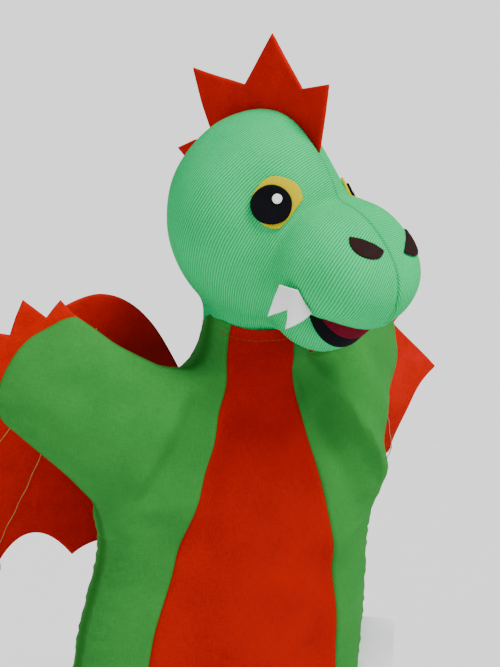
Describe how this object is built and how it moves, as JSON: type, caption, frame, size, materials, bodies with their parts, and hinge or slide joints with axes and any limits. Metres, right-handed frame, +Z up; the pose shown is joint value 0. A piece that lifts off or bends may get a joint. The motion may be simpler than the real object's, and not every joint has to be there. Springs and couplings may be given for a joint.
{
  "type": "hand puppet",
  "caption": "Cloth glove hand puppet of a small dragon with a stuffed knit head, felt crest, wings and claws, worn over a hand through its open hem.",
  "frame": {"origin": "centre of the wrist opening, in the plane of the hem", "axes": "+Z up from the hem to the crest, front of the glove towards -Y, the puppet's right arm towards -X"},
  "size_m": [0.2925, 0.1632, 0.3615],
  "materials": {
    "orange_cotton": "plain woven cotton, matt",
    "green_cotton": "plain woven cotton, matt",
    "white_tape": "smooth woven tape, blank",
    "thread": "sewing thread",
    "orange_thread": "sewing thread",
    "card_tube": "plain rolled card",
    "stuffing": "loose polyester fibre",
    "mint_knit": "fine ribbed jersey",
    "black_felt": "craft felt",
    "dark_red_felt": "craft felt",
    "white_felt": "craft felt",
    "yellow_felt": "craft felt",
    "brown_felt": "craft felt",
    "orange_felt": "craft felt",
    "red_felt": "craft felt"
  },
  "bodies": {
    "glove": {"belly_panel": "orange_cotton", "front_panel_right": "green_cotton", "front_panel_left": "green_cotton", "back_panel_right": "green_cotton", "back_panel_left": "green_cotton", "hem_band": "green_cotton", "care_label": "white_tape"},
    "collar": {"collar_front": "orange_cotton", "collar_back": "green_cotton", "neck_stitching": "orange_thread"},
    "head": {"finger_tube": "card_tube", "head_stuffing": "stuffing", "head_skin_right": "mint_knit", "head_skin_left": "mint_knit", "mouth_lining": "black_felt", "tongue": "dark_red_felt", "teeth_right": "white_felt", "teeth_left": "white_felt", "eye_yellow_right": "yellow_felt", "eye_yellow_left": "yellow_felt", "eye_black_right": "black_felt", "eye_black_left": "black_felt", "eye_glint_right": "white_felt", "eye_glint_left": "white_felt", "nostril_right": "brown_felt", "nostril_left": "brown_felt", "crest": "orange_felt", "crest_back_spike": "orange_felt"},
    "arm_right": {"arm_front_right": "green_cotton", "arm_back_right": "green_cotton", "claws_right": "orange_felt"},
    "arm_left": {"arm_front_left": "green_cotton", "arm_back_left": "green_cotton", "claws_left": "orange_felt"},
    "wing_right_body": {"wing_right": "red_felt", "wing_stitching_right": "thread"},
    "wing_left_body": {"wing_left": "red_felt", "wing_stitching_left": "thread"}
  },
  "joints": [
    {"name": "head_nod", "type": "hinge", "parent": "glove", "child": "collar", "pos_m": [0.014, -0.016, 0.204], "axis": [1, 0, 0], "range_deg": [-12, 18]},
    {"name": "head_turn", "type": "hinge", "parent": "collar", "child": "head", "pos_m": [0.014, -0.016, 0.2195], "axis": [0, 0, 1], "range_deg": [-55, 15]},
    {"name": "arm_swing_right", "type": "hinge", "parent": "glove", "child": "arm_right", "pos_m": [-0.04, -0.0248, 0.17], "axis": [0, 0, 1], "range_deg": [0, 47]},
    {"name": "arm_swing_left", "type": "hinge", "parent": "glove", "child": "arm_left", "pos_m": [0.068, -0.0248, 0.17], "axis": [0, 0, -1], "range_deg": [0, 70]},
    {"name": "wing_flap_right", "type": "hinge", "parent": "glove", "child": "wing_right_body", "pos_m": [-0.00864, 0.02623, 0.1], "axis": [-0.0633, 0.0724, -0.9954], "range_deg": [0, 40], "stiffness_Nm_per_rad": 0.02},
    {"name": "wing_flap_left", "type": "hinge", "parent": "glove", "child": "wing_left_body", "pos_m": [0.02136, 0.02623, 0.1], "axis": [0.0633, -0.0724, 0.9954], "range_deg": [0, 40], "stiffness_Nm_per_rad": 0.02}
  ]
}
